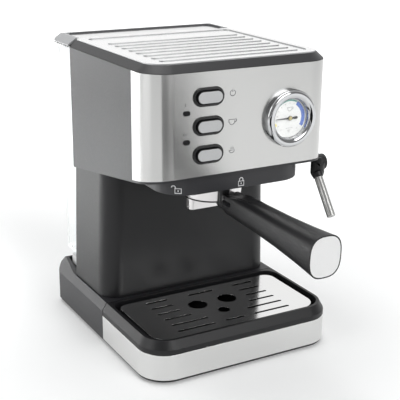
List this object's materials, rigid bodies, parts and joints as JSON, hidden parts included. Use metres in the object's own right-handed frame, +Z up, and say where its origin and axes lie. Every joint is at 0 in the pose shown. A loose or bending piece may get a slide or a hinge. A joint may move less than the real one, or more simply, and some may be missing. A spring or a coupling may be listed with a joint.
{
  "type": "espresso machine",
  "caption": "Upright espresso machine with steel front, round gauge, bayonet filter holder, steam wand, drip tray and clear rear water tank.",
  "frame": {"origin": "on the counter, midway between the four rubber feet", "axes": "+X to the machine's right as seen from the front, -Y to the front where the filter holder's handle points, +Z up"},
  "size_m": [0.2203, 0.3628, 0.2958],
  "materials": {
    "matt_black_plastic": "fine texture",
    "dark_grey_plastic": "fine texture",
    "grey_rim_plastic": "satin",
    "black_gloss_plastic": "gloss",
    "silver_plastic": "satin silver",
    "white_silver_plastic": "satin",
    "brushed_steel": "brushed",
    "polished_steel": "polished",
    "chrome": "polished",
    "cast_aluminium": "cast",
    "brass": "machined",
    "copper_pipe": "drawn",
    "zinc_screw": "zinc plated",
    "rubber": "matt",
    "red_silicone": "matt",
    "clear_silicone": "translucent",
    "clear_plastic": "clear",
    "clear_glass": "clear",
    "white_enamel": "satin",
    "green_board": "solder mask",
    "cream_plastic": "plain"
  },
  "bodies": {
    "chassis": {"rear_base": "dark_grey_plastic", "base_plate": "matt_black_plastic", "rubber_feet": "rubber", "base_screws": "zinc_screw", "cord_gland": "rubber", "column_housing": "matt_black_plastic", "back_panel": "matt_black_plastic", "head_housing": "dark_grey_plastic", "steel_front": "brushed_steel", "top_rim": "grey_rim_plastic", "cup_plate": "brushed_steel", "group_shroud": "matt_black_plastic", "bayonet_collar": "cast_aluminium", "group_gasket": "rubber", "shower_plate": "polished_steel", "shower_screw": "polished_steel", "boiler_lower": "cast_aluminium", "boiler_upper": "cast_aluminium", "boiler_bolts": "zinc_screw", "heating_element": "zinc_screw", "thermostats": "cream_plastic", "pump": "brass", "pump_mounts": "rubber", "water_hoses": "clear_silicone", "steam_valve": "brass", "steam_pipe": "copper_pipe", "steam_socket": "matt_black_plastic", "control_board": "green_board", "switch_blocks": "cream_plastic", "button_bezels": "black_gloss_plastic", "indicator_lenses": "black_gloss_plastic", "gauge_case": "matt_black_plastic", "gauge_bezel": "chrome", "gauge_dial": "white_enamel", "gauge_glass": "clear_glass", "tank_seat": "dark_grey_plastic", "seat_seal": "red_silicone"},
    "power_key": {"power_button": "matt_black_plastic", "power_button_cap": "silver_plastic"},
    "brew_key": {"brew_button": "matt_black_plastic", "brew_button_cap": "silver_plastic"},
    "steam_key": {"steam_button": "matt_black_plastic", "steam_button_cap": "silver_plastic"},
    "needle": {"gauge_needle": "black_gloss_plastic"},
    "steam_tap": {"steam_knob": "matt_black_plastic"},
    "wand": {"wand_knuckle": "matt_black_plastic", "wand_tube": "polished_steel"},
    "filter_holder": {"filter_bowl": "chrome", "filter_basket": "polished_steel", "spout_block": "chrome", "handle_grip": "matt_black_plastic", "handle_cap": "white_silver_plastic"},
    "thumb_lever": {"retention_lever": "matt_black_plastic"},
    "tray": {"drip_tray": "dark_grey_plastic", "tray_band": "brushed_steel"},
    "grille": {"drip_grille": "polished_steel"},
    "tank": {"tank_shell": "clear_plastic", "tank_foot": "silver_plastic", "tank_outlet": "cream_plastic"},
    "lid": {"tank_lid": "white_silver_plastic"}
  },
  "joints": [
    {"name": "power_press", "type": "slide", "parent": "chassis", "child": "power_key", "axis": [0, 1, 0], "range_m": [0, 0.0025], "stiffness_N_per_m": 400, "springref_m": -0.0015},
    {"name": "brew_press", "type": "slide", "parent": "chassis", "child": "brew_key", "axis": [0, 1, 0], "range_m": [0, 0.0025], "stiffness_N_per_m": 400, "springref_m": -0.0015},
    {"name": "steam_press", "type": "slide", "parent": "chassis", "child": "steam_key", "axis": [0, 1, 0], "range_m": [0, 0.0025], "stiffness_N_per_m": 400, "springref_m": -0.0015},
    {"name": "needle_turn", "type": "hinge", "parent": "chassis", "child": "needle", "pos_m": [0.0477, -0.104, 0.2375], "axis": [0, 1, 0], "range_deg": [0, 210]},
    {"name": "steam_tap_turn", "type": "hinge", "parent": "chassis", "child": "steam_tap", "pos_m": [0.097, -0.03, 0.2395], "axis": [1, 0, 0], "range_deg": [0, 270]},
    {"name": "wand_swing", "type": "hinge", "parent": "chassis", "child": "wand", "pos_m": [0.0945, -0.085, 0.1798], "axis": [1, 0, 0], "range_deg": [-40, 35]},
    {"name": "holder_turn", "type": "hinge", "parent": "chassis", "child": "filter_holder", "pos_m": [0, -0.046, 0.17], "axis": [0, 0, 1], "range_deg": [-53, 0]},
    {"name": "lever_turn", "type": "hinge", "parent": "filter_holder", "child": "thumb_lever", "pos_m": [0, -0.0862, 0.1638], "axis": [-1, 0, 0], "range_deg": [0, 20]},
    {"name": "tray_slide", "type": "slide", "parent": "chassis", "child": "tray", "axis": [0, -1, 0], "range_m": [0, 0.1]},
    {"name": "grille_lift", "type": "slide", "parent": "tray", "child": "grille", "axis": [0, 0, 1], "range_m": [0, 0.04]},
    {"name": "tank_lift", "type": "slide", "parent": "chassis", "child": "tank", "axis": [0, 0, 1], "range_m": [0, 0.1]},
    {"name": "lid_turn", "type": "hinge", "parent": "tank", "child": "lid", "pos_m": [0, 0.1174, 0.2856], "axis": [-1, 0, 0], "range_deg": [0, 100]}
  ]
}
